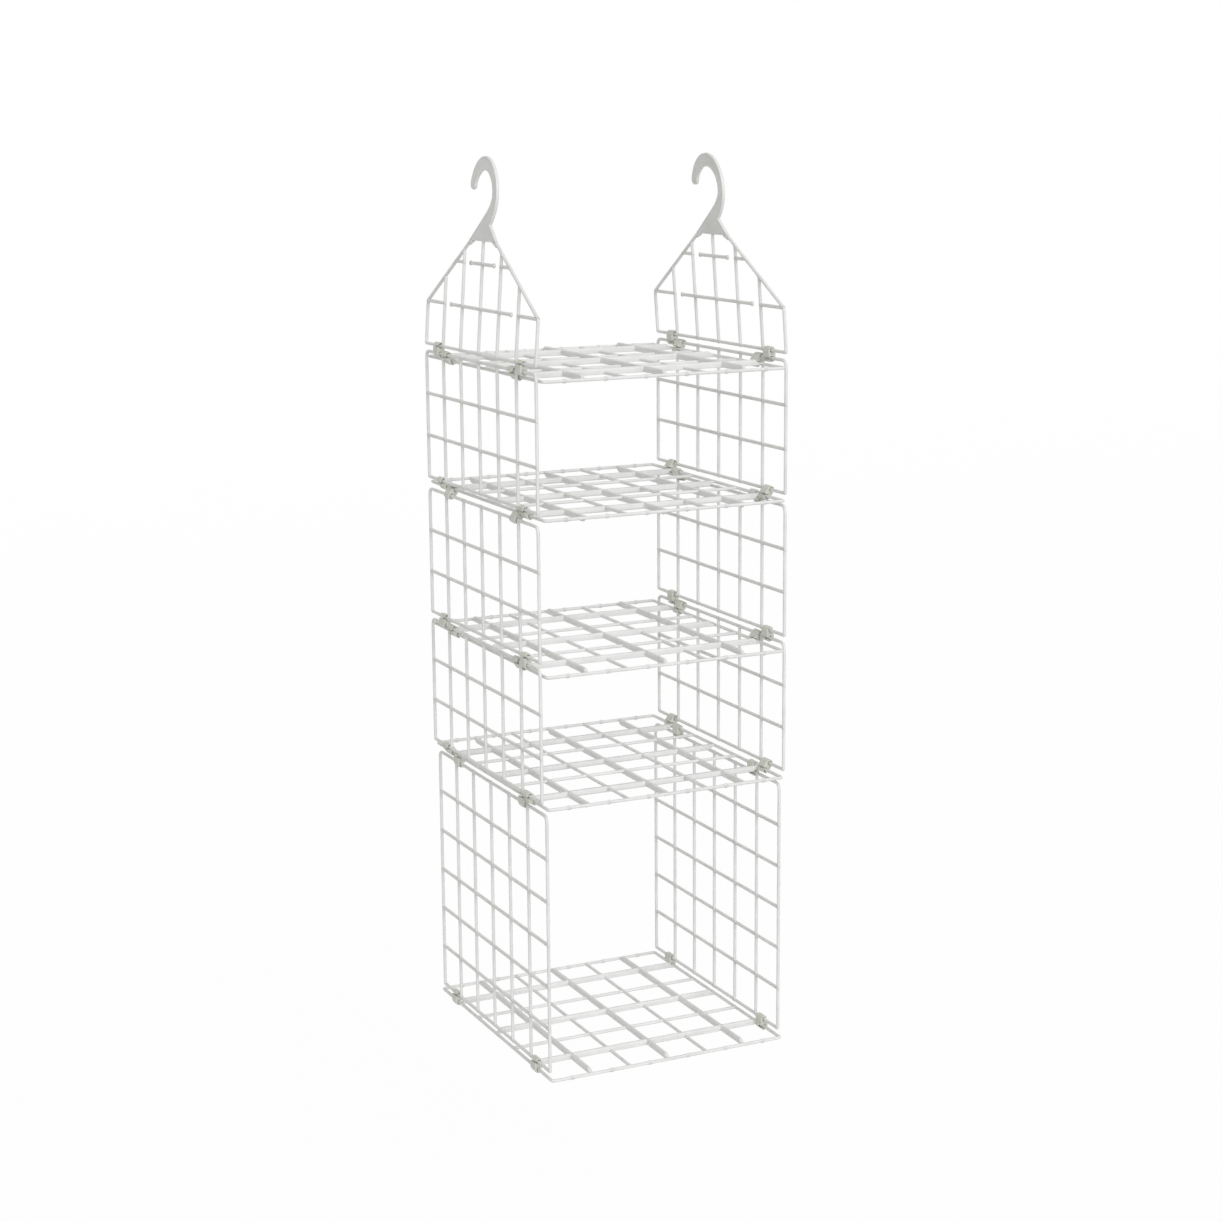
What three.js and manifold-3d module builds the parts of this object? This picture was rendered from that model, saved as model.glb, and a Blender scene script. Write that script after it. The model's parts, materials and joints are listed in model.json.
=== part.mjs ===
// Hanging closet organizer: five open shelves strung between hinged side grids,
// hung from a closet rod by two house-shaped hanger grids with hooks.
// Millimetres. X runs along the closet rod, Y runs from front to rear, Z is up.
// The origin is on top of the rod, midway between the two hooks' saddles.

import * as THREE from 'three';
import { mergeVertices } from 'three/addons/utils/BufferGeometryUtils.js';
import Module from 'manifold-3d';

const wasm = await Module();
wasm.setup();

// Cells of the grids
const cell_height = 50.8;        // rows of the side panels and the hangers
const cell_depth = 54;           // columns of the side panels and the hangers
const cell_width = 50;           // columns of the shelves, from side to side
const columns = 6;
const short_rows = 3;
const tall_rows = 6;

// Bars of the side panels, the hangers and the shelves' frames
const bar_width = 3.8;
const bar_thickness = 3.8;
const bar_chamfer = 1.1;
const cell_excess = 1.4;
const corner_radius = 8;         // the panels' upper corners and the hangers' eaves
const foot_radius = 1.9;         // the panels' lower corners, which are square inside
const corner_steps = 2;

// Shelves
const shelf_overhang = 6.5;      // the shelf's front and rear bars stand past the side panels
const shelf_corner_radius = 3.5;
const rib_width = 4.6;
const rib_depth = 7;
const rib_taper = 9;             // length of the slope at each end of a rib
const rib_inset = 0.2;           // the ribs' flat side lies this far inside the frame's
const rib_step = 0.1;            // and the lengthwise ribs' this much further
const slat_width = 3;
const slat_depth = 3;

// Clips: each one joins two neighbouring bars
const clip_pitch = 9.2;          // from bar to bar
const rail_inset = 5.5;          // the shelf's side rail lies inboard of the short panels' hinge bars
const clip_length = 14;
const clip_gap = 0.6;            // between a clip's end and the bar that it stands beside
const clip_wall = 1.8;
const clip_clearance = 0.35;
const clip_steps = 3;
const seat_sides = 6;            // a seat is six-sided and open on one side

// Hanger grids and their hooks
const hanger_lean = THREE.MathUtils.degToRad(4);
const eave_rows = 1;
const tie_rows = 2;              // height of the upper tie bar
const gusset_rows = 2.5;         // height of the gusset's lower edge
const gusset_half_width = 37;
const tie_gap = 17;              // from an upright to the free end of a tie bar
const knob_radius = 2.6;         // the free ends are a little thicker than the bar
const web_length = 4;            // fills the cells' corners at the roof bars and the gusset
const hook_offset = 4;           // the hooks stand this far behind the middle of the grids
const hook_rise = 79.5;          // from the gusset's lower edge to the saddle
const throat_radius = 26.4;
const hook_strap = 13;           // the strap's width at the stem and the arm
const hook_crown = 16;           // the strap's width over the saddle
const tip_share = 0.43;          // of the throat's radius: the arm's round end begins this far up
const notch_offset = 19;
const notch_share = 0.36;        // height of the notch by the stem, from the gusset to the throat
const stem_bend = 16;            // the stem's front edge bends this far above the notch
const lip_share = 0.81;          // height where the gusset's rear edge would meet the throat's side
const neck_share = 0.72;         // and how far it runs towards there before it curves
const hook_steps = 6;

// Derived places
const side_length = columns * cell_depth;
const half_side = side_length / 2;
const half_bar = bar_width / 2;
const half_thickness = bar_thickness / 2;
const shelf_width = columns * cell_width;
const shelf_length = side_length + 2 * shelf_overhang;
const half_shelf = shelf_width / 2;
const bar_reach = Math.hypot(half_bar - bar_chamfer, half_thickness);
const seat_angle = Math.PI / seat_sides;
const seat_radius = (bar_reach + clip_clearance) / Math.cos(seat_angle);
const clip_radius = seat_radius + clip_wall;
const clip_inside = half_side - cell_depth - half_bar - clip_gap - clip_length / 2;
const clip_outside = shelf_length / 2 - shelf_length / columns + rib_width / 2 + clip_gap + clip_length / 2;

const white_plastic = { color: 0xf1f1ec, roughness: 0.42, metalness: 0 };

// Solids

function solid(geometry) {
  const bare = geometry.index ? geometry.toNonIndexed() : geometry.clone();
  bare.deleteAttribute('normal');
  bare.deleteAttribute('uv');
  const merged = mergeVertices(bare);
  const corners = merged.index.array;
  const kept = [];
  for (let i = 0; i < corners.length; i += 3) {
    const [a, b, c] = corners.slice(i, i + 3);
    if (a !== b && b !== c && c !== a) kept.push(a, b, c);
  }
  return new wasm.Manifold(new wasm.Mesh({
    numProp: 3,
    vertProperties: new Float32Array(merged.attributes.position.array),
    triVerts: new Uint32Array(kept),
  }));
}

function geometryOf(manifold) {
  const mesh = manifold.getMesh();
  const geometry = new THREE.BufferGeometry();
  geometry.setAttribute('position', new THREE.BufferAttribute(mesh.vertProperties, 3));
  geometry.setIndex(new THREE.BufferAttribute(mesh.triVerts, 1));
  geometry.computeVertexNormals();
  return geometry;
}

function piece(name, geometry) {
  const mesh = new THREE.Mesh(geometry, new THREE.MeshStandardMaterial(white_plastic));
  mesh.name = name;
  return mesh;
}

// Outlines

function arcPoints(x, y, radius, from, to, steps) {
  const points = [];
  for (let i = 0; i <= steps; i += 1) {
    const angle = from + (to - from) * i / steps;
    points.push(new THREE.Vector2(x + radius * Math.cos(angle), y + radius * Math.sin(angle)));
  }
  return points;
}

// A rectangle whose four corners have their own radii, from the lower left one anticlockwise
function boxPoints(x0, y0, x1, y1, radii) {
  const corners = [[x0, y0, 1, 1], [x1, y0, -1, 1], [x1, y1, -1, -1], [x0, y1, 1, -1]];
  return corners.flatMap(([x, y, sx, sy], i) => {
    const r = radii[i];
    if (r <= 0) return [new THREE.Vector2(x, y)];
    const start = Math.PI + i * Math.PI / 2;
    return arcPoints(x + sx * r, y + sy * r, r, start, start + Math.PI / 2, corner_steps);
  });
}

// Six-sided bars: an outline is full size at mid thickness and drawn in at both faces,
// a cell is drawn out as much. A cell's solid stands past both faces.
function chamfered(shape, thickness, chamfer) {
  return solid(new THREE.ExtrudeGeometry(shape, {
    depth: 0,
    bevelThickness: thickness / 2,
    bevelSize: chamfer,
    bevelOffset: -chamfer,
    bevelSegments: 1,
    curveSegments: hook_steps,
  }));
}

function moulded(outline, cells) {
  return cells.reduce(
    (body, cell) => body.subtract(chamfered(cell, bar_thickness * cell_excess, -bar_chamfer * cell_excess)),
    chamfered(outline, bar_thickness, bar_chamfer));
}

// Turns a flat outline to stand in the YZ plane, its x along +Y and its y along +Z
function standing(manifold) {
  const geometry = geometryOf(manifold);
  geometry.rotateX(Math.PI / 2);
  geometry.rotateZ(Math.PI / 2);
  return geometry;
}

// Side panel: a rounded frame with square cells, hinged at its lowest and highest bars
function panelGeometry(rows) {
  const height = rows * cell_height;
  const corners = [foot_radius, foot_radius, corner_radius, corner_radius];
  const outer = corners.map((radius) => radius + half_bar);
  const shape = new THREE.Shape(
    boxPoints(-half_side - half_bar, -half_bar, half_side + half_bar, height + half_bar, outer));
  const cells = [];
  for (let row = 0; row < rows; row += 1) {
    for (let column = 0; column < columns; column += 1) {
      const y0 = -half_side + column * cell_depth;
      const z0 = row * cell_height;
      const first = column === 0;
      const last = column === columns - 1;
      const low = row === 0;
      const high = row === rows - 1;
      const at_corner = [first && low, last && low, last && high, first && high];
      const radii = at_corner.map((round, i) => (round ? corners[i] - half_bar : 0));
      cells.push(new THREE.Shape(boxPoints(
        y0 + half_bar, z0 + half_bar, y0 + cell_depth - half_bar, z0 + cell_height - half_bar, radii)));
    }
  }
  return standing(moulded(shape, cells));
}

// Hanger: heights are above its hinge bar, distances run towards the rear from its middle
const eave_rise = eave_rows * cell_height;
const tie_rise = tie_rows * cell_height;
const gusset_rise = gusset_rows * cell_height;
const roof_slope = (gusset_rise - eave_rise) / (half_side - gusset_half_width);
const roof_offset = half_bar * Math.hypot(1, roof_slope);
const saddle_rise = gusset_rise + hook_rise;
const throat_rise = saddle_rise - throat_radius;
const notch_rise = heightUpTo(throat_rise, notch_share);

function heightUpTo(rise, share) {
  return gusset_rise + share * (rise - gusset_rise);
}

function roofRise(distance, offset) {
  return eave_rise + (half_side - distance) * roof_slope + offset;
}

function roofDistance(rise, offset) {
  return half_side - (rise - eave_rise - offset) / roof_slope;
}

// Draws the gusset's edges and the hook over them, from the rear shoulder to the front one
function traceHook(shape) {
  const shoulder = roofDistance(gusset_rise, roof_offset);
  const side = throat_radius + hook_strap;
  const top = throat_radius + hook_crown;
  const lip = new THREE.Vector2(hook_offset - throat_radius, heightUpTo(throat_rise, lip_share));
  const join = new THREE.Vector2(shoulder, gusset_rise).lerp(lip, neck_share);
  const tip_rise = tip_share * throat_radius;
  const inner_angle = Math.asin(tip_share);
  const outer_angle = Math.asin(tip_rise / top);
  const inner = throat_radius * Math.cos(inner_angle);
  const outer = side * Math.cos(outer_angle);
  const tip_middle = hook_offset + (inner + outer) / 2;

  shape.lineTo(shoulder, gusset_rise);
  shape.lineTo(join.x, join.y);
  shape.quadraticCurveTo(lip.x, lip.y, lip.x, throat_rise);
  shape.absarc(hook_offset, throat_rise, throat_radius, Math.PI, inner_angle, true);
  shape.absarc(tip_middle, throat_rise + tip_rise, (outer - inner) / 2, Math.PI, 2 * Math.PI, false);
  shape.absellipse(hook_offset, throat_rise, side, top, outer_angle, Math.PI, false);
  shape.quadraticCurveTo(hook_offset - side, notch_rise + stem_bend, -notch_offset, notch_rise);
  shape.lineTo(-shoulder, gusset_rise);
}

function hangerOutline() {
  const shape = new THREE.Shape();
  const edge = half_side + half_bar;
  const eave = new THREE.Vector2(edge, roofRise(edge, roof_offset));
  const eave_curve = new THREE.QuadraticBezierCurve(
    new THREE.Vector2(edge, eave.y - corner_radius), eave,
    new THREE.Vector2(edge - corner_radius, roofRise(edge - corner_radius, roof_offset)));
  const eave_points = eave_curve.getPoints(corner_steps);

  shape.moveTo(-edge, -half_bar);
  shape.lineTo(edge, -half_bar);
  eave_points.forEach((p) => shape.lineTo(p.x, p.y));
  traceHook(shape);
  eave_points.reverse().forEach((p) => shape.lineTo(-p.x, p.y));
  return shape;
}

// Cells of one half of the hanger, from its middle upright outwards
function hangerCells() {
  const near = half_bar;
  const first = cell_depth;
  const second = 2 * cell_depth;
  const turn = Math.PI - Math.asin(half_bar / knob_radius);
  const freeEnd = (distance, rise) => arcPoints(
    distance - knob_radius, rise, knob_radius, turn, -turn, 2 * corner_steps).map((p) => [p.x, p.y]);
  const cells = [];
  cells.push([
    [near, near], [first - near, near], [first - near, eave_rise - near], [near, eave_rise - near],
  ]);
  cells.push([
    [second + near, near], [half_side - near, near],
    [half_side - near, eave_rise - near - web_length], [half_side - near - web_length, eave_rise - near],
    [second + near, eave_rise - near],
  ]);
  // beside the middle upright, above the eave tie, round the free end of the upper tie
  cells.push([
    [near, eave_rise + near], [first - near, eave_rise + near],
    [first - near, roofRise(first - near, -roof_offset)],
    [roofDistance(gusset_rise - web_length, -roof_offset), gusset_rise - web_length],
    [roofDistance(gusset_rise, -roof_offset) - web_length, gusset_rise], [near, gusset_rise],
    [near, tie_rise + near],
    ...freeEnd(first - tie_gap, tie_rise),
    [near, tie_rise - near],
  ]);
  // between the first and second uprights, round the free end of the eave tie
  cells.push([
    [first + near, near], [second - near, near],
    [second - near, roofRise(second - near, -roof_offset)],
    [roofDistance(tie_rise - near, -roof_offset), tie_rise - near],
    [first + near, tie_rise - near],
    [first + near, eave_rise + near],
    ...freeEnd(second - tie_gap, eave_rise),
    [first + near, eave_rise - near],
  ]);
  // triangles under the roof: over the upper tie's stub, and outside the second upright
  for (const [from, rise] of [[first + near, tie_rise + near], [second + near, eave_rise + near]]) {
    const tip = roofDistance(rise, -roof_offset) - web_length;
    cells.push([
      [from, rise], [tip, rise], [tip, roofRise(tip, -roof_offset)], [from, roofRise(from, -roof_offset)],
    ]);
  }
  return cells;
}

function hangerGeometry() {
  const cells = [-1, 1].flatMap((side) => hangerCells().map((cell) => new THREE.Shape(
    cell.map(([distance, rise]) => new THREE.Vector2(side * distance, rise)))));
  return standing(moulded(hangerOutline(), cells));
}

// Shelf: a frame of the same bar, crossed by deep ribs and light slats in turn.
// A rib is nearly flush with the frame on one face and slopes up to its height on the other.
function ribGeometry(length, width, depth, taper, inset) {
  const low = inset - half_thickness;
  const profile = new THREE.Shape([
    new THREE.Vector2(-length / 2, low),
    new THREE.Vector2(length / 2, low),
    new THREE.Vector2(length / 2, 0),
    new THREE.Vector2(length / 2 - taper, low + depth),
    new THREE.Vector2(-length / 2 + taper, low + depth),
    new THREE.Vector2(-length / 2, 0),
  ]);
  const geometry = new THREE.ExtrudeGeometry(profile, { depth: width, bevelEnabled: false });
  geometry.translate(0, 0, -width / 2);
  geometry.rotateX(Math.PI / 2);
  return geometry;
}

function shelfGeometry() {
  const half_length = shelf_length / 2;
  const outer = shelf_corner_radius + half_bar;
  const inner = shelf_corner_radius - half_bar;
  const frame = new THREE.Shape(boxPoints(
    -half_shelf - half_bar, -half_length - half_bar,
    half_shelf + half_bar, half_length + half_bar, Array(4).fill(outer)));
  const window = new THREE.Shape(boxPoints(
    -half_shelf + half_bar, -half_length + half_bar,
    half_shelf - half_bar, half_length - half_bar, Array(4).fill(inner)));
  let shelf = moulded(frame, [window]);
  for (let i = 1; i < columns; i += 1) {
    const share = i / columns - 1 / 2;
    const deep = i % 2 === 1;
    for (const across of [true, false]) {
      const length = across ? shelf_width : shelf_length;
      const geometry = deep
        ? ribGeometry(length, rib_width, rib_depth, rib_taper, rib_inset + (across ? 0 : rib_step))
        : new THREE.BoxGeometry(length, slat_width, slat_depth);
      if (!across) geometry.rotateZ(Math.PI / 2);
      geometry.translate(across ? 0 : share * shelf_width, across ? share * shelf_length : 0, 0);
      shelf = shelf.add(solid(geometry));
    }
  }
  return geometryOf(shelf);
}

// Clip: a short bar with two seats, whose mouths open to opposite sides
function clipGeometry() {
  const mouth = seat_radius * Math.sin(seat_angle);
  const brow = Math.asin(mouth / clip_radius);
  const half = [
    ...arcPoints(0, 0, clip_radius, brow, Math.PI, clip_steps),
    new THREE.Vector2(-clip_radius, -clip_pitch + mouth),
    ...arcPoints(0, -clip_pitch, seat_radius, Math.PI - seat_angle, seat_angle - Math.PI, seat_sides - 1),
  ];
  const turned = half.map((p) => new THREE.Vector2(-p.x, -clip_pitch - p.y));
  const geometry = new THREE.ExtrudeGeometry(new THREE.Shape([...half, ...turned]), {
    depth: clip_length,
    bevelEnabled: false,
  });
  geometry.translate(0, 0, -clip_length / 2);
  geometry.rotateX(Math.PI / 2);
  return geometryOf(solid(geometry));
}

// The stack, from the top down: where each level's rails, upper and lower hinge bars lie.
// A bar's inset is how far the shelf's rail lies inboard of it, and a clip joins the two.
// The tall panels hang right below the rails, the short ones a little outboard of them.
// On the shelves with ribs up, the lower panels hook on between the upper bar and the rail.
function clipDrop(inset) {
  return Math.sqrt(clip_pitch ** 2 - inset ** 2);
}

function clipTilt(inset) {
  return Math.asin(inset / clip_pitch);
}

const panel_rows = [short_rows, short_rows, short_rows, tall_rows];
const levels = [];
let upper = { z: -saddle_rise * Math.cos(hanger_lean), inset: rail_inset };
for (let i = 0; i <= panel_rows.length; i += 1) {
  const ribs_up = i % 2 === 0;
  const last = i === panel_rows.length;
  const stacked = ribs_up && !last;
  const rows = last ? 0 : panel_rows[i];
  const inset = rows === short_rows ? rail_inset : 0;
  const rail = upper.z - clipDrop(upper.inset) - (stacked ? clip_pitch : 0);
  const lower = { z: stacked ? upper.z - clip_pitch : rail - clipDrop(inset), inset };
  levels.push({ upper, lower, rail, rows, ribs_up, stacked, last });
  upper = { z: lower.z - rows * cell_height, inset };
}

const organizer = new THREE.Group();
organizer.position.y = -hook_offset;
const panel_short = panelGeometry(short_rows);
const panel_tall = panelGeometry(tall_rows);
const shelf_shape = shelfGeometry();
const clip_shape = clipGeometry();
const hanger_shape = hangerGeometry();

for (const [word, side] of [['left', -1], ['right', 1]]) {
  const hanger = piece(`hanger_${word}`, hanger_shape);
  hanger.position.set(side * (half_shelf + rail_inset), 0, levels[0].upper.z);
  hanger.rotation.y = -side * hanger_lean;
  organizer.add(hanger);
  levels.filter((level) => !level.last).forEach(({ lower, rows }, i) => {
    const panel = piece(`side_${word}_${i + 1}`, rows === tall_rows ? panel_tall : panel_short);
    panel.position.set(side * (half_shelf + lower.inset), 0, lower.z - rows * cell_height);
    organizer.add(panel);
  });
}

function addClip(name, side, place, tilt) {
  const clip = piece(name, clip_shape);
  clip.position.set(side * place.x, place.y, place.z);
  clip.rotation.set(0, side * tilt, side > 0 ? 0 : Math.PI, 'YXZ');
  organizer.add(clip);
}

levels.forEach(({ upper: above, lower: below, rail, ribs_up, stacked, last }, i) => {
  const shelf = piece(`shelf_${i + 1}`, shelf_shape);
  shelf.position.z = rail;
  shelf.rotation.x = ribs_up ? 0 : Math.PI;
  organizer.add(shelf);

  for (const [word, side] of [['left', -1], ['right', 1]]) {
    for (const [end, along] of [['front', -1], ['rear', 1]]) {
      const outside = along * clip_outside;
      const inside = along * clip_inside;
      const tag = `clip_${i + 1}_${word}_${end}`;
      const upper_place = { x: half_shelf + above.inset, y: outside, z: above.z };
      const lower_place = { x: half_shelf + below.inset, y: inside, z: below.z };
      const rail_place = { x: half_shelf, y: inside, z: rail };
      addClip(`${tag}_upper`, side, upper_place, stacked ? 0 : clipTilt(above.inset));
      if (stacked) {
        addClip(`${tag}_lower`, side, lower_place, clipTilt(below.inset));
      } else if (!last) {
        addClip(`${tag}_lower`, side, rail_place, -clipTilt(below.inset));
      }
    }
  }
});

export default organizer;
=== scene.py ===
"""Finish and studio for the hanging closet organizer.

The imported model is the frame. Each hanger, side grid and shelf is drawn finer in its node's place,
with round bars, swellings where they cross, ribs, knobs and nubs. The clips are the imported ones
with rounded edges. All are off-white polypropylene in even light and a soft key light in front.
"""

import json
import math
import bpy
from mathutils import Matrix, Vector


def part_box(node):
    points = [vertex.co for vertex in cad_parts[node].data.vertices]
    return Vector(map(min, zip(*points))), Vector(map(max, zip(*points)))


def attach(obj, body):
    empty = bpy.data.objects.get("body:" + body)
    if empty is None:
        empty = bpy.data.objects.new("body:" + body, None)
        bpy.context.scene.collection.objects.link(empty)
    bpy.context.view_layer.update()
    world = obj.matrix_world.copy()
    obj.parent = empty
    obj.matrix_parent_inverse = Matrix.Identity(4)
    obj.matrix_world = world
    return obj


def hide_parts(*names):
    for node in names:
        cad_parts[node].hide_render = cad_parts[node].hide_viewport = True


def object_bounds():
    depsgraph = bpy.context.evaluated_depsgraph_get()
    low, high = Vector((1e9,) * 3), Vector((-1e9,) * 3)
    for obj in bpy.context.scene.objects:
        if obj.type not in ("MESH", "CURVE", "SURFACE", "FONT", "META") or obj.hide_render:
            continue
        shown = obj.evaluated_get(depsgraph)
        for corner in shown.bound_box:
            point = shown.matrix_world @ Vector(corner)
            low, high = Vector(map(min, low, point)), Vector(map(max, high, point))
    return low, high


bl_info = {
    "name": "Hanging closet organizer",
    "version": (1, 0, 0),
    "blender": (4, 5, 0),
    "location": "3D View > Sidebar > Organizer",
    "description": "Moulded detail, plastic finish and studio for a hanging closet organizer",
    "category": "Object",
}

import bmesh
import bpy
from bpy.props import FloatProperty, FloatVectorProperty, IntProperty, PointerProperty
from bpy.types import Operator, Panel, PropertyGroup
from mathutils import Matrix, Vector

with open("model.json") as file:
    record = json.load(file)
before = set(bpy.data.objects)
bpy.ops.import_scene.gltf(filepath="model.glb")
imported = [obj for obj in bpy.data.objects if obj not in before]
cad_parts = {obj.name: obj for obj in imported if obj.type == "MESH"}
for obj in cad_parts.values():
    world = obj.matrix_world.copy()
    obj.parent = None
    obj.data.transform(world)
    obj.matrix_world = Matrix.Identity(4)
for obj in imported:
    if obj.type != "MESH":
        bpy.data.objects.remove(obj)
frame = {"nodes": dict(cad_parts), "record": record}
cad_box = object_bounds()
body_of = {
    node: body
    for body, nodes in frame["record"]["behaviour"]["bodies"].items()
    for node in nodes
}

PHOTO_WIDTH = 1222                # pixels, and the height is the same
SENSOR_WIDTH = 36                 # millimetres
VIEW_REACH = 50                   # metres that the camera sees

CELLS = 6                         # in each grid, from front to rear and from side to side
WELD = 1e-6                       # packed vertices closer than this are one
SKIN = 0.0001                     # keeps faces that would coincide apart
ROUND_SIDES = 16                  # of a bar's section
SQUARENESS = 0.95                 # of that section: 1 is a circle, and 0 a square
BEND_STEPS = 4                    # in a bend or a quarter turn
TAPER_STEPS = 5                   # in the slope at a rib's end
RIB_CORNER = 0.0006               # chamfer along a rib's flat side
RIB_STEP = 0.00015                # cross ribs' flats lie this far inside the frame, others twice
MITRE_LIMIT = 0.4                 # keeps offset outlines from spiking at sharp corners
ROUND_ANGLE = math.radians(25)    # clip edges sharper than this are rounded
FLAT_ANGLE = math.radians(3)      # faces within this of the hook's side belong to it
CORNER_ANGLE = math.radians(40)   # the hook's outline turns a corner above this, and curves below
LONG_EDGE = 0.02                  # edges of that outline above this stay straight
CURVE_STEPS = 4                   # in each of the others

BLEND_START = 0.3                 # of a noise's range
BLEND_END = 0.7
NOISE_DETAIL = 3.0
GRAIN_DETAIL = 2.0
CLOUD_SIZE = 0.03                 # patches of slightly different colour
FLOW_SIZE = 0.012                 # patches of different sheen
SHEEN_SPREAD = 0.08               # of roughness, to each side
GRAIN_STRENGTH = 0.6
REFRACTION = 1.49                 # of polypropylene
GLOW_RADIUS = (1.0, 1.0, 0.9)     # how far each colour of light goes, as shares of the light depth
SEEN_PAPER = (0.92, 0.92, 0.92)   # the paper's colour where it is seen
FIBRE_SIZE = 0.02
FIBRE_SHADE = 0.995               # of the paper's colour
PAPER_ROUGHNESS = 0.9
PAPER_HALF_WIDTH = 8.0
PAPER_FRONT = -6.0
PAPER_BEND = 5.0                  # where it starts to curve up
PAPER_BEND_RADIUS = 2.0
PAPER_BEND_STEPS = 24
PAPER_TOP = 6.0                   # over the floor


class ORGANIZER_PG_moulding(PropertyGroup):
    """Sizes of the moulded detail"""

    bar: FloatProperty(
        name="Bar", description="Thickness of the bars of the side grids, hangers and shelf frames",
        default=0.0038, min=0, unit="LENGTH")
    upright: FloatProperty(
        name="Upright", description="Width of the side grids' and hangers' inner uprights",
        default=0.0034, min=0, unit="LENGTH")
    level: FloatProperty(
        name="Level", description="Height of the side grids' level bars and the hangers' ties",
        default=0.0041, min=0, unit="LENGTH")
    web: FloatProperty(
        name="Web", description="Length of the webs in the cells' corners under the gusset",
        default=0.0035, min=0, unit="LENGTH")
    bar_chamfer: FloatProperty(
        name="Bar chamfer", description="How far a packed bar is drawn in at both faces",
        default=0.0011, min=0, unit="LENGTH")
    swelling: FloatProperty(
        name="Swelling", description="How far a crossing stands out beside the bars",
        default=0.0007, min=0, unit="LENGTH")
    cell_height: FloatProperty(
        name="Cell height", description="Height of the side grids' and hangers' cells",
        default=0.0508, min=0.001, unit="LENGTH")
    top_bend: FloatProperty(
        name="Top bend", description="Bend of the frames' upper corners and eaves",
        default=0.0080, min=0, unit="LENGTH")
    foot_bend: FloatProperty(
        name="Foot bend", description="Bend of the frames' lower corners",
        default=0.0019, min=0, unit="LENGTH")
    gusset_height: FloatProperty(
        name="Gusset height", description="Height of the gusset's lower edge over the hinge bar",
        default=0.1270, min=0, unit="LENGTH")
    gusset_width: FloatProperty(
        name="Gusset width", description="Width of the gusset's lower edge",
        default=0.0740, min=0, unit="LENGTH")
    gusset_overlap: FloatProperty(
        name="Gusset overlap", description="How far the bars run up inside the gusset",
        default=0.0020, min=0, unit="LENGTH")
    tie_gap: FloatProperty(
        name="Tie gap", description="From an upright to the free end of a tie",
        default=0.0170, min=0, unit="LENGTH")
    knob: FloatProperty(
        name="Knob", description="Radius of the knobs on the ties' free ends",
        default=0.0030, min=0, unit="LENGTH")
    rim: FloatProperty(
        name="Hook rim", description="Width of the flat rim round the faces of the hook and gusset",
        default=0.0003, min=0, unit="LENGTH")
    rim_slope: FloatProperty(
        name="Rim slope", description="Width of the slope from the rim down to the face inside it",
        default=0.0008, min=0, unit="LENGTH")
    recess: FloatProperty(
        name="Hook recess", description="Depth of the faces inside the rim",
        default=0.0005, min=0, unit="LENGTH")
    shelf_bend: FloatProperty(
        name="Shelf bend", description="Bend of a shelf's corners",
        default=0.0035, min=0, unit="LENGTH")
    rib: FloatProperty(
        name="Rib", description="Width of a shelf's deep ribs",
        default=0.0046, min=0, unit="LENGTH")
    rib_taper: FloatProperty(
        name="Rib taper", description="Length of the slope at each end of a deep rib",
        default=0.009, min=0, unit="LENGTH")
    slat: FloatProperty(
        name="Slat", description="Thickness of the light slats between the ribs",
        default=0.0038, min=0, unit="LENGTH")
    nub_length: FloatProperty(
        name="Nub length", description="Length of the nubs on the shelves' front and rear bars",
        default=0.0080, min=0, unit="LENGTH")
    nub_height: FloatProperty(
        name="Nub height", description="How far the nubs stand out above and below the bar",
        default=0.0009, min=0, unit="LENGTH")
    clip_edge: FloatProperty(
        name="Clip edge", description="Rounding of the edges of the clips",
        default=0.0006, min=0, unit="LENGTH")
    segments: IntProperty(
        name="Segments", description="Facets across each rounding", default=3, min=1, max=6)


class ORGANIZER_PG_plastic(PropertyGroup):
    """Colours and surface of the plastic"""

    grid_colour: FloatVectorProperty(
        name="Grid colour", description="Polypropylene of the grids, hooks and shelves",
        default=(0.77, 0.77, 0.75), min=0, max=1, size=3, subtype="COLOR")
    # The clips' colour is a little yellower than the grids' plastic and also darker. The darkness is
    # painted shade, standing in for the shade among the hinge bars round the clips.
    clip_colour_and_painted_shade: FloatVectorProperty(
        name="Clip colour", description="Polypropylene of the clips, a little yellower",
        default=(0.66, 0.665, 0.595), min=0, max=1, size=3, subtype="COLOR")
    mottle: FloatProperty(
        name="Mottle", description="How much the colour varies from place to place",
        default=0.05, min=0, max=1, subtype="FACTOR")
    roughness: FloatProperty(
        name="Roughness", description="Roughness of the moulded surface",
        default=0.42, min=0, max=1, subtype="FACTOR")
    glow: FloatProperty(
        name="Translucence", description="How much light passes under the surface",
        default=0.2, min=0, max=1, subtype="FACTOR")
    glow_depth: FloatProperty(
        name="Light depth", description="How far light travels under the surface",
        default=0.0015, min=0, unit="LENGTH")
    grain_size: FloatProperty(
        name="Grain size", description="Size of the fine grain left by the mould",
        default=0.0006, min=0, unit="LENGTH")
    grain_depth: FloatProperty(
        name="Grain depth", description="Depth of that grain",
        default=0.00002, min=0, unit="LENGTH")


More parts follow.
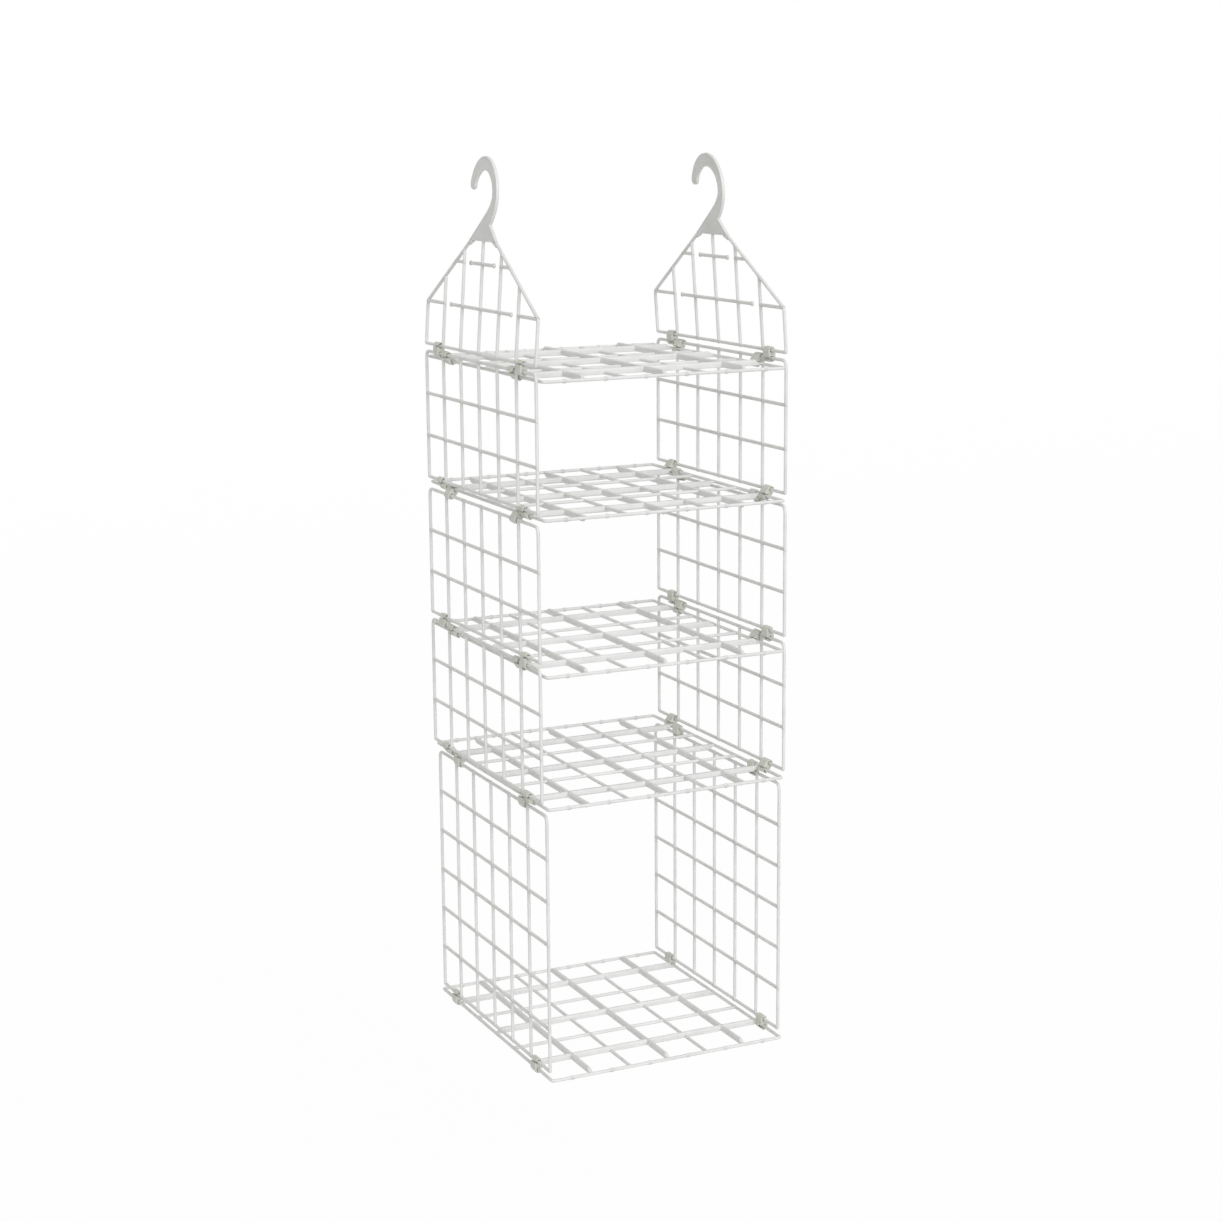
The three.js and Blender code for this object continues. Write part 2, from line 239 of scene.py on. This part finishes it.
class ORGANIZER_PG_studio(PropertyGroup):
    """Camera, light and floor"""

    camera_place: FloatVectorProperty(
        name="Camera", description="Where the camera stands",
        default=(-1.20728, -2.54942, 0.0585), size=3, subtype="TRANSLATION", unit="LENGTH")
    camera_turn: FloatProperty(
        name="Turn", description="Camera's turn from straight ahead towards the right",
        default=math.radians(25.51), subtype="ANGLE")
    camera_dip: FloatProperty(
        name="Dip", description="How far down the camera looks",
        default=math.radians(11.70), subtype="ANGLE")
    camera_roll: FloatProperty(
        name="Roll", description="Camera's roll", default=math.radians(0.47), subtype="ANGLE")
    focal_pixels: FloatProperty(
        name="Focal length in pixels", description="Focal length on the photograph's width",
        default=2407.45, min=1)
    centre_pixels: FloatVectorProperty(
        name="Optical centre", description="Pixel of the photograph that the camera points at",
        default=(609.3, 614.88), size=2)
    sky_level: FloatProperty(
        name="Surrounding light", description="Brightness of the even light from all round",
        default=0.52, min=0)
    sky_colour: FloatVectorProperty(
        name="Surrounding colour", description="Colour of the light from all round",
        default=(1.0, 1.0, 0.97), min=0, max=1, size=3, subtype="COLOR")
    key_level: FloatProperty(
        name="Key light", description="Brightness that the key light adds to a face turned to it",
        default=0.55, min=0)
    key_colour: FloatVectorProperty(
        name="Key colour", description="Colour of the key light",
        default=(0.95, 0.95, 1.0), min=0, max=1, size=3, subtype="COLOR")
    key_spread: FloatProperty(
        name="Key spread", description="Angle over which the key light is spread",
        default=math.radians(50), subtype="ANGLE")
    key_direction: FloatVectorProperty(
        name="Key direction", description="Where the key light comes from",
        default=(-0.08, -0.88, 0.46), size=3, subtype="DIRECTION")
    floor_drop: FloatProperty(
        name="Floor drop", description="How far the floor lies below the lowest shelf",
        default=0.35, min=0, unit="LENGTH")
    floor_colour: FloatVectorProperty(
        name="Floor colour", description="Colour of the floor and backdrop",
        default=(0.75, 0.75, 0.75), min=0, max=1, size=3, subtype="COLOR")
    floor_white: FloatProperty(
        name="Floor white", description="How much of the floor is seen as plain white",
        default=0.96, min=0, max=1, subtype="FACTOR")


def settings(context):
    scene = context.scene
    return scene.organizer_moulding, scene.organizer_plastic, scene.organizer_studio


# Materials

def new_material(name):
    material = bpy.data.materials.new(name)
    material.use_nodes = True
    nodes = material.node_tree.nodes
    return material, nodes, material.node_tree.links, nodes["Principled BSDF"]


def noise(nodes, links, coordinates, size, detail=NOISE_DETAIL):
    node = nodes.new("ShaderNodeTexNoise")
    node.inputs["Scale"].default_value = 1 / size
    node.inputs["Detail"].default_value = detail
    links.new(coordinates.outputs["Object"], node.inputs["Vector"])
    return node


def ramp(nodes, links, factor, low, high):
    node = nodes.new("ShaderNodeValToRGB")
    ends = ((BLEND_START, low), (BLEND_END, high))
    for element, (position, colour) in zip(node.color_ramp.elements, ends):
        element.position = position
        element.color = (*colour, 1)
    links.new(factor, node.inputs["Fac"])
    return node


def polypropylene(name, colour, plastic):
    """Moulded polypropylene: faintly mottled, satin, slightly translucent"""
    material, nodes, links, shader = new_material(name)
    coordinates = nodes.new("ShaderNodeTexCoord")

    cloud = noise(nodes, links, coordinates, CLOUD_SIZE)
    shades = [[c * (1 + sign * plastic.mottle) for c in colour] for sign in (-1, 1)]
    tint = ramp(nodes, links, cloud.outputs["Fac"], *shades)
    links.new(tint.outputs["Color"], shader.inputs["Base Color"])

    flow = noise(nodes, links, coordinates, FLOW_SIZE)
    sheen = nodes.new("ShaderNodeMapRange")
    sheen.inputs["To Min"].default_value = plastic.roughness - SHEEN_SPREAD
    sheen.inputs["To Max"].default_value = plastic.roughness + SHEEN_SPREAD
    links.new(flow.outputs["Fac"], sheen.inputs["Value"])
    links.new(sheen.outputs["Result"], shader.inputs["Roughness"])

    grain = noise(nodes, links, coordinates, plastic.grain_size, GRAIN_DETAIL)
    bump = nodes.new("ShaderNodeBump")
    bump.inputs["Strength"].default_value = GRAIN_STRENGTH
    bump.inputs["Distance"].default_value = plastic.grain_depth
    links.new(grain.outputs["Fac"], bump.inputs["Height"])
    links.new(bump.outputs["Normal"], shader.inputs["Normal"])

    shader.inputs["IOR"].default_value = REFRACTION
    shader.inputs["Subsurface Weight"].default_value = plastic.glow
    shader.inputs["Subsurface Radius"].default_value = GLOW_RADIUS
    shader.inputs["Subsurface Scale"].default_value = plastic.glow_depth
    return material


def seen_rays(nodes, links):
    """One for the rays that show a surface or the background, nought for the rays that light it"""
    path = nodes.new("ShaderNodeLightPath")
    total = path.outputs["Is Camera Ray"]
    for kind in ("Is Glossy Ray", "Is Transmission Ray"):
        add = nodes.new("ShaderNodeMath")
        add.operation = "MAXIMUM"
        links.new(total, add.inputs[0])
        links.new(path.outputs[kind], add.inputs[1])
        total = add.outputs["Value"]
    return total


def colour_sockets(sockets):
    """The mix node's sockets that carry a colour, by name"""
    return {socket.name: socket for socket in sockets if socket.type == "RGBA"}


def matt_paper(name, colour, white):
    """Seamless studio paper, which is seen nearly white and keeps a faint shadow"""
    material, nodes, links, shader = new_material(name)
    coordinates = nodes.new("ShaderNodeTexCoord")
    fibres = noise(nodes, links, coordinates, FIBRE_SIZE)
    seen = seen_rays(nodes, links)
    tint = nodes.new("ShaderNodeMix")
    tint.data_type = "RGBA"
    links.new(seen, tint.inputs["Factor"])
    for socket, shade in (("A", colour), ("B", SEEN_PAPER)):
        dark = [c * FIBRE_SHADE for c in shade]
        fibre = ramp(nodes, links, fibres.outputs["Fac"], dark, shade)
        links.new(fibre.outputs["Color"], colour_sockets(tint.inputs)[socket])
    links.new(colour_sockets(tint.outputs)["Result"], shader.inputs["Base Color"])
    shader.inputs["Roughness"].default_value = PAPER_ROUGHNESS

    share = nodes.new("ShaderNodeMath")
    share.operation = "MULTIPLY"
    links.new(seen, share.inputs[0])
    share.inputs[1].default_value = white
    glow = nodes.new("ShaderNodeEmission")
    mix = nodes.new("ShaderNodeMixShader")
    links.new(share.outputs["Value"], mix.inputs["Fac"])
    links.new(shader.outputs["BSDF"], mix.inputs[1])
    links.new(glow.outputs["Emission"], mix.inputs[2])
    links.new(mix.outputs["Shader"], nodes["Material Output"].inputs["Surface"])
    return material


# Pieces

def new_piece(name, mesh, material, body):
    piece = bpy.data.objects.new(name, mesh)
    bpy.context.scene.collection.objects.link(piece)
    mesh.materials.append(material)
    mesh.shade_smooth()
    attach(piece, body)
    return piece


def round_edges(piece, edge, segments):
    bevel = piece.modifiers.new("Rounded edges", "BEVEL")
    bevel.width = edge
    bevel.segments = segments
    bevel.limit_method = "ANGLE"
    bevel.angle_limit = ROUND_ANGLE
    bevel.miter_outer = "MITER_ARC"


def welded(node):
    """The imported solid's mesh, to be worked on"""
    shape = bmesh.new()
    shape.from_mesh(frame["nodes"][node].data)
    bmesh.ops.remove_doubles(shape, verts=shape.verts, dist=WELD)
    return shape


def finished(shape, name, node, material):
    """Turns the mesh into a piece on the node's body"""
    mesh = bpy.data.meshes.new(name)
    shape.to_mesh(mesh)
    shape.free()
    piece = new_piece(name, mesh, material, body_of[node])
    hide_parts(node)
    return piece


def even_shading(piece):
    """Keeps flat faces flat beside their rounded edges, and bars even up to their ends"""
    normals = piece.modifiers.new("Even shading", "WEIGHTED_NORMAL")
    normals.keep_sharp = True


# Grids are drawn in a plane of their own, by two distances in it and a height across it

def section(width, height):
    """A bar's section, round its middle"""
    points = []
    for i in range(ROUND_SIDES):
        angle = 2 * math.pi * i / ROUND_SIDES
        shares = (math.cos(angle), math.sin(angle))
        across, up = (math.copysign(abs(share) ** SQUARENESS, share) for share in shares)
        points.append((width / 2 * across, height / 2 * up))
    return points


def loft(shape, rings, closed):
    """A skin over rings of points, joined end to end or capped"""
    for i in range(0 if closed else 1, len(rings)):
        near, far = rings[i - 1], rings[i]
        for k in range(len(far)):
            shape.faces.new((near[k - 1], near[k], far[k], far[k - 1]))
    if not closed:
        shape.faces.new(rings[0])
        shape.faces.new(rings[-1])


def sideways(path, i, closed=True):
    """Which way is left at a point of a path, stretched so that offset lines stay parallel"""
    last = len(path) - 1
    before = path[i] - path[i - 1] if closed or i > 0 else path[1] - path[0]
    after = path[(i + 1) % len(path)] - path[i] if closed or i < last else before
    before, after = before.normalized(), after.normalized()
    left = Vector((-before.y - after.y, before.x + after.x))
    return left / max(1 + before.dot(after), MITRE_LIMIT)


def draw_bar(shape, path, sections, closed=False):
    """A bar along a path, with one section for each point"""
    rings = []
    for i, point in enumerate(path):
        left = sideways(path, i, closed)
        rings.append([
            shape.verts.new((height, *(point + left * width))) for width, height in sections[i]])
    loft(shape, rings, closed)


def draw_even_bar(shape, path, profile, closed=False):
    draw_bar(shape, path, [profile] * len(path), closed)


def bent(path, radii):
    """The path with its inner corners rounded"""
    points = []
    for i, (corner, radius) in enumerate(zip(path, radii)):
        if radius == 0:
            points.append(corner)
            continue
        before = (corner - path[i - 1]).normalized()
        after = (path[(i + 1) % len(path)] - corner).normalized()
        turn = before.angle_signed(after)
        reach = radius * math.tan(abs(turn) / 2)
        for step in range(BEND_STEPS + 1):
            share = step / BEND_STEPS
            start, end = corner - before * reach, corner + after * reach
            near, far = start.lerp(corner, share), corner.lerp(end, share)
            points.append(near.lerp(far, share))
    return points


def draw_lump(shape, place, across, radius, length=None):
    """A swelling of the moulding about a point"""
    size = Matrix.Diagonal((across, length or radius, radius, 1))
    bmesh.ops.create_uvsphere(
        shape, u_segments=ROUND_SIDES, v_segments=ROUND_SIDES // 2, radius=1,
        matrix=Matrix.Translation((0, *place)) @ size)


def draw_crossing(shape, place, moulding):
    """The swelling where two bars cross, a little proud of both"""
    half = moulding.bar / 2
    draw_lump(shape, place, half + SKIN, half + moulding.swelling)


def laid(shape, origin, across, first, second):
    """Lays the drawing where it belongs"""
    turn = Matrix((across, first, second)).transposed().to_4x4()
    bmesh.ops.transform(shape, matrix=Matrix.Translation(origin) @ turn, verts=shape.verts)
    bmesh.ops.recalc_face_normals(shape, faces=shape.faces)
    return shape


def nodes_named(start):
    return sorted(name for name in frame["nodes"] if name.startswith(start))


def grid_plastic(context):
    material = bpy.data.materials.get("White polypropylene")
    if material is None:
        plastic = settings(context)[1]
        material = polypropylene("White polypropylene", plastic.grid_colour, plastic)
    return material


def draw_grids(context, start, grid):
    """Draws a grid in place of each packed one of a kind"""
    for node in nodes_named(start):
        shape = grid(node, settings(context)[0])
        even_shading(finished(shape, f"{node}_moulding", node, grid_plastic(context)))


class ORGANIZER_OT_side_grids(Operator):
    """Draw the side grids: a frame, bars both ways and the swellings where they cross"""

    bl_idname = "organizer.side_grids"
    bl_label = "Side grids"

    def execute(self, context):
        draw_grids(context, "side_", self.grid)
        return {"FINISHED"}

    def grid(self, node, moulding):
        low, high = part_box(node)
        thick = moulding.bar
        half = (high.y - low.y - thick) / 2
        height = high.z - low.z - thick
        rows = round(height / moulding.cell_height)
        shape = bmesh.new()
        corners = [Vector(c) for c in ((-half, 0), (half, 0), (half, height), (-half, height))]
        bends = (moulding.foot_bend, moulding.foot_bend, moulding.top_bend, moulding.top_bend)
        draw_even_bar(shape, bent(corners, bends), section(thick, thick), closed=True)
        columns = [half * (2 * i / CELLS - 1) for i in range(CELLS + 1)]
        levels = [height * i / rows for i in range(rows + 1)]
        upright, tie = section(moulding.upright, thick), section(moulding.level, thick)
        for along in columns[1:-1]:
            draw_even_bar(shape, [Vector((along, 0)), Vector((along, height))], upright)
        for level in levels[1:-1]:
            draw_even_bar(shape, [Vector((-half, level)), Vector((half, level))], tie)
        for along in columns:
            for level in levels:
                if along in columns[1:-1] or level in levels[1:-1]:
                    draw_crossing(shape, (along, level), moulding)
        middle = ((low.x + high.x) / 2, (low.y + high.y) / 2, low.z + thick / 2)
        return laid(shape, middle, (1, 0, 0), (0, 1, 0), (0, 0, 1))


class ORGANIZER_OT_hangers(Operator):
    """Draw the hanger grids, and their hooks with faces that lie inside a rim"""

    bl_idname = "organizer.hangers"
    bl_label = "Hangers"

    def execute(self, context):
        draw_grids(context, "hanger_", self.grid)
        return {"FINISHED"}

    def grid(self, node, moulding):
        low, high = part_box(node)
        thick = moulding.bar
        half = (high.y - low.y - thick) / 2
        packed = welded(node)
        side = max(packed.faces, key=lambda face: abs(face.normal.x) * face.calc_area())
        across = side.normal * math.copysign(1, side.normal.x)
        upward = across.cross(Vector((0, 1, 0)))
        depths = [across.dot(vertex.co) for vertex in packed.verts]
        foot = min(upward.dot(vertex.co) for vertex in packed.verts) + thick / 2
        middle = Vector((0, (low.y + high.y) / 2, 0))
        middle += across * (min(depths) + max(depths)) / 2 + upward * foot
        shape = bmesh.new()
        self.bars(shape, half, moulding)
        self.hook(shape, packed, middle, across, upward, moulding)
        packed.free()
        return laid(shape, middle, across, (0, 1, 0), upward)

    def bars(self, shape, half, moulding):
        """The house-shaped frame, its uprights, and the ties with their free ends"""
        thick, eave, gusset = moulding.bar, moulding.cell_height, moulding.gusset_height
        slope = (gusset - eave) / (half - moulding.gusset_width / 2)
        cell = 2 * half / CELLS
        profile = section(thick, thick)
        inside = moulding.gusset_overlap
        shoulder = moulding.gusset_width / 2 - inside / slope
        frame_path = [
            (-shoulder, gusset + inside), (-half, eave), (-half, 0),
            (half, 0), (half, eave), (shoulder, gusset + inside)]
        top_bend, foot_bend = moulding.top_bend, moulding.foot_bend
        bends = (0, top_bend, foot_bend, foot_bend, top_bend, 0)
        draw_even_bar(shape, bent([Vector(c) for c in frame_path], bends), profile)
        for side in (-1, 1):
            corner = moulding.gusset_width / 2 - thick
            below = Vector((side * (corner + moulding.web / slope), gusset - moulding.web))
            beside = Vector((side * (corner - moulding.web), gusset))
            draw_even_bar(shape, [below, beside], profile)
        upright, tie = section(moulding.upright, thick), section(moulding.level, thick)
        for column in range(1 - CELLS // 2, CELLS // 2):
            along = column * cell
            top = min(gusset + inside, eave + (half - abs(along)) * slope)
            draw_even_bar(shape, [Vector((along, 0)), Vector((along, top))], upright)
            draw_crossing(shape, (along, 0), moulding)
        for level, outer, inner in ((eave, half, 2), (2 * eave, half - eave / slope, 1)):
            free = inner * cell - moulding.tie_gap
            knob = free - moulding.knob
            spans = ((-outer, -inner * cell), (-knob, knob), (inner * cell, outer))
            for start, end in spans:
                draw_even_bar(shape, [Vector((start, level)), Vector((end, level))], tie)
            for side in (-1, 1):
                draw_lump(shape, (side * knob, level), thick / 2 + SKIN, moulding.knob)
            for column in range(-inner, inner + 1):
                draw_crossing(shape, (column * cell, level), moulding)

    def hook(self, shape, packed, middle, across, upward, moulding):
        """The hook and its gusset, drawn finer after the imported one's flat face"""
        bevel = moulding.bar_chamfer
        foot = middle + upward * (moulding.gusset_height + bevel + SKIN)
        bmesh.ops.bisect_plane(
            packed, geom=packed.verts[:] + packed.edges[:] + packed.faces[:], dist=WELD,
            plane_co=foot, plane_no=upward, clear_inner=True)
        flats = [face for face in packed.faces if across.dot(face.normal) > math.cos(FLAT_ANGLE)]
        plate = bmesh.ops.dissolve_faces(packed, faces=flats)["region"][0]
        corners = [vertex.co - middle for vertex in plate.verts]
        outline = self.smoothed([Vector((corner.y, upward.dot(corner))) for corner in corners])
        half = moulding.bar / 2
        rise = [(moulding.rim + moulding.rim_slope, half - moulding.recess), (moulding.rim, half)]
        turn = [math.pi * i / (2 * BEND_STEPS) for i in range(2 * BEND_STEPS + 1)]
        profile = rise + [(-bevel * math.sin(a), half * math.cos(a)) for a in turn]
        profile += [(inset, -height) for inset, height in reversed(rise)]
        rings = []
        for inset, height in profile:
            places = [point + sideways(outline, i) * inset for i, point in enumerate(outline)]
            rings.append([shape.verts.new((height, *place)) for place in places])
        loft(shape, rings, closed=False)

    def smoothed(self, outline):
        """Runs a curve through the outline's points, but keeps its sharp corners"""
        tangents = []
        for i, point in enumerate(outline):
            before, after = point - outline[i - 1], outline[(i + 1) % len(outline)] - point
            between = (before.normalized() + after.normalized()).normalized()
            tangents.append(None if before.angle(after) > CORNER_ANGLE else between)
        points = []
        for i, start in enumerate(outline):
            following = (i + 1) % len(outline)
            end = outline[following]
            chord = end - start
            out = chord if tangents[i] is None else tangents[i] * chord.length
            into = chord if tangents[following] is None else tangents[following] * chord.length
            steps = 1 if chord.length > LONG_EDGE else CURVE_STEPS
            for step in range(steps):
                t = step / steps
                points.append(
                    start * (2 * t ** 3 - 3 * t ** 2 + 1) + out * (t ** 3 - 2 * t ** 2 + t)
                    + end * (3 * t ** 2 - 2 * t ** 3) + into * (t ** 3 - t ** 2))
        return points


class ORGANIZER_OT_shelves(Operator):
    """Draw the shelves: a bar all round, deep ribs and light slats, and the mould's nubs"""

    bl_idname = "organizer.shelves"
    bl_label = "Shelves"

    def execute(self, context):
        draw_grids(context, "shelf_", self.grid)
        return {"FINISHED"}

    def grid(self, node, moulding):
        """The shelf is drawn with its ribs up, and laid that way up or the other"""
        low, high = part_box(node)
        half = moulding.bar / 2
        wide = (high.x - low.x) / 2 - half
        long = (high.y - low.y) / 2 - half
        rib_top = high.z - low.z - half
        shape = bmesh.new()
        corners = [Vector(c) for c in ((-wide, -long), (wide, -long), (wide, long), (-wide, long))]
        frame_path = bent(corners, [moulding.shelf_bend] * len(corners))
        draw_even_bar(shape, frame_path, section(moulding.bar, moulding.bar), closed=True)
        slat = section(moulding.slat, moulding.slat)
        for reach, spread, across in ((wide, long, True), (long, wide, False)):
            for line in range(1, CELLS):
                place = spread * (2 * line / CELLS - 1)
                if line % 2:
                    flat = RIB_STEP * (1 if across else 2) - half
                    stations, sections = self.rib(reach, flat, rib_top, moulding)
                else:
                    stations, sections = (-reach, reach), (slat, slat)
                path = [Vector((at, place) if across else (place, at)) for at in stations]
                draw_bar(shape, path, sections)
        nub = (half + moulding.nub_height, half, moulding.nub_length / 2)
        for cell in range(CELLS):
            place = wide * ((2 * cell + 1) / CELLS - 1)
            for along in (-long, long):
                draw_lump(shape, (place, along), *nub)
        middle = Vector(((low.x + high.x) / 2, (low.y + high.y) / 2, 0))
        if self.ribs_up(node):
            middle.z = low.z + half
            return laid(shape, middle, (0, 0, 1), (1, 0, 0), (0, 1, 0))
        middle.z = high.z - half
        return laid(shape, middle, (0, 0, -1), (1, 0, 0), (0, -1, 0))

    def rib(self, reach, flat, top, moulding):
        """Sections along a deep rib: flat below, round above, and sloping up from each end"""
        half = moulding.rib / 2
        stations, sections = [], []
        last = 2 * TAPER_STEPS + 1
        for i in range(last + 1):
            share = min(i, last - i) / TAPER_STEPS
            along = moulding.rib_taper * share - reach
            rise = top * share * share * (3 - 2 * share)
            crown = min(half, (rise - flat) / 2)
            profile = [(half - RIB_CORNER, flat), (half, flat + RIB_CORNER)]
            for k in range(ROUND_SIDES // 2 + 1):
                angle = 2 * math.pi * k / ROUND_SIDES
                profile.append((half * math.cos(angle), rise - crown + crown * math.sin(angle)))
            profile += [(-half, flat + RIB_CORNER), (RIB_CORNER - half, flat)]
            stations.append(along if i <= TAPER_STEPS else -along)
            sections.append(profile)
        return stations, sections

    def ribs_up(self, node):
        """Whether the frame's bar lies at the bottom of the shelf"""
        low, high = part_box(node)
        places = [vertex.co for vertex in frame["nodes"][node].data.vertices]
        rail = [place.z for place in places if abs(place.x - high.x) < SKIN]
        return sum(rail) / len(rail) < (low.z + high.z) / 2


class ORGANIZER_OT_clips(Operator):
    """Round the clips that join the hinge bars"""

    bl_idname = "organizer.clips"
    bl_label = "Clips"

    def execute(self, context):
        moulding, plastic, _ = settings(context)
        # The clip material's colour is darker than the grids' as painted shade from the hinge bars
        # round the clips
        material = polypropylene("Clip polypropylene", plastic.clip_colour_and_painted_shade, plastic)
        for node in nodes_named("clip_"):
            piece = finished(welded(node), f"{node}_moulding", node, material)
            round_edges(piece, moulding.clip_edge, moulding.segments)
            even_shading(piece)
        return {"FINISHED"}


class ORGANIZER_OT_studio(Operator):
    """Set up the floor, the light and the photograph's camera"""

    bl_idname = "organizer.studio"
    bl_label = "Studio"

    def execute(self, context):
        studio = settings(context)[2]
        self.floor(studio)
        self.light(context, studio)
        self.camera(context, studio)
        context.scene.view_settings.view_transform = "Standard"
        return {"FINISHED"}

    def floor(self, studio):
        """One sheet of paper: flat under the object, curving up behind it"""
        floor = cad_box[0][2] - studio.floor_drop
        radius = PAPER_BEND_RADIUS
        outline = [(PAPER_FRONT, floor)]
        for i in range(PAPER_BEND_STEPS + 1):
            angle = math.pi / 2 * i / PAPER_BEND_STEPS
            rise = radius * (1 - math.cos(angle))
            outline.append((PAPER_BEND + radius * math.sin(angle), floor + rise))
        outline.append((PAPER_BEND + radius, floor + PAPER_TOP))
        sheet = bmesh.new()
        sides = (-PAPER_HALF_WIDTH, PAPER_HALF_WIDTH)
        rows = [[sheet.verts.new((x, y, z)) for x in sides] for y, z in outline]
        for near, far in zip(rows, rows[1:]):
            sheet.faces.new((near[0], near[1], far[1], far[0]))
        mesh = bpy.data.meshes.new("studio_paper")
        sheet.to_mesh(mesh)
        sheet.free()
        mesh.shade_smooth()
        mesh.materials.append(matt_paper("Studio paper", studio.floor_colour, studio.floor_white))
        paper = bpy.data.objects.new("studio_paper", mesh)
        bpy.context.scene.collection.objects.link(paper)

    def light(self, context, studio):
        """Even light from all round, seen as white, and a soft key light from the front"""
        world = bpy.data.worlds.new("Studio light")
        world.use_nodes = True
        context.scene.world = world
        nodes, links = world.node_tree.nodes, world.node_tree.links
        surround = nodes["Background"]
        surround.inputs["Color"].default_value = (*studio.sky_colour, 1)
        surround.inputs["Strength"].default_value = studio.sky_level
        seen = nodes.new("ShaderNodeBackground")
        seen.inputs["Color"].default_value = (1, 1, 1, 1)
        mix = nodes.new("ShaderNodeMixShader")
        links.new(seen_rays(nodes, links), mix.inputs["Fac"])
        links.new(surround.outputs["Background"], mix.inputs[1])
        links.new(seen.outputs["Background"], mix.inputs[2])
        links.new(mix.outputs["Shader"], nodes["World Output"].inputs["Surface"])

        key = bpy.data.lights.new("Key", "SUN")
        key.color = studio.key_colour
        key.energy = studio.key_level * math.pi
        key.angle = studio.key_spread
        lamp = bpy.data.objects.new("Key", key)
        lamp.rotation_euler = Vector(studio.key_direction).to_track_quat("Z", "Y").to_euler()
        context.scene.collection.objects.link(lamp)

    def camera(self, context, studio):
        """The photograph's camera"""
        turn, dip, roll = studio.camera_turn, studio.camera_dip, studio.camera_roll
        ahead = Vector((
            math.sin(turn) * math.cos(dip), math.cos(turn) * math.cos(dip), -math.sin(dip)))
        level = Vector((math.cos(turn), -math.sin(turn), 0))
        upward = level.cross(ahead)
        right = level * math.cos(roll) - upward * math.sin(roll)
        upright = level * math.sin(roll) + upward * math.cos(roll)
        axes = Matrix((right, upright, -ahead)).transposed()
        lens = bpy.data.cameras.new("Camera")
        lens.sensor_width = SENSOR_WIDTH
        lens.lens = studio.focal_pixels / PHOTO_WIDTH * SENSOR_WIDTH
        lens.shift_x = 0.5 - studio.centre_pixels[0] / PHOTO_WIDTH
        lens.shift_y = studio.centre_pixels[1] / PHOTO_WIDTH - 0.5
        lens.clip_end = VIEW_REACH
        camera = bpy.data.objects.new("Camera", lens)
        camera.matrix_world = Matrix.Translation(studio.camera_place) @ axes.to_4x4()
        context.scene.collection.objects.link(camera)
        context.scene.camera = camera


class ORGANIZER_PT_panel(Panel):
    """Lists the organizer's steps and sizes"""

    bl_idname = "ORGANIZER_PT_panel"
    bl_label = "Closet organizer"
    bl_space_type = "VIEW_3D"
    bl_region_type = "UI"
    bl_category = "Organizer"

    def draw(self, context):
        for step in STEPS:
            self.layout.operator(step.bl_idname)
        for group in settings(context):
            column = self.layout.column()
            for name in group.__annotations__:
                column.prop(group, name)


STEPS = (
    ORGANIZER_OT_side_grids,
    ORGANIZER_OT_hangers,
    ORGANIZER_OT_shelves,
    ORGANIZER_OT_clips,
    ORGANIZER_OT_studio,
)
GROUPS = {
    "organizer_moulding": ORGANIZER_PG_moulding,
    "organizer_plastic": ORGANIZER_PG_plastic,
    "organizer_studio": ORGANIZER_PG_studio,
}


def register():
    for group in GROUPS.values():
        bpy.utils.register_class(group)
    for name, group in GROUPS.items():
        setattr(bpy.types.Scene, name, PointerProperty(type=group))
    for cls in (*STEPS, ORGANIZER_PT_panel):
        bpy.utils.register_class(cls)


def unregister():
    for cls in reversed((*STEPS, ORGANIZER_PT_panel)):
        bpy.utils.unregister_class(cls)
    for name in GROUPS:
        delattr(bpy.types.Scene, name)
    for group in reversed(GROUPS.values()):
        bpy.utils.unregister_class(group)


def main():
    register()
    bpy.ops.organizer.side_grids()
    bpy.ops.organizer.hangers()
    bpy.ops.organizer.shelves()
    bpy.ops.organizer.clips()
    bpy.ops.organizer.studio()


if __name__ == "__main__":
    main()
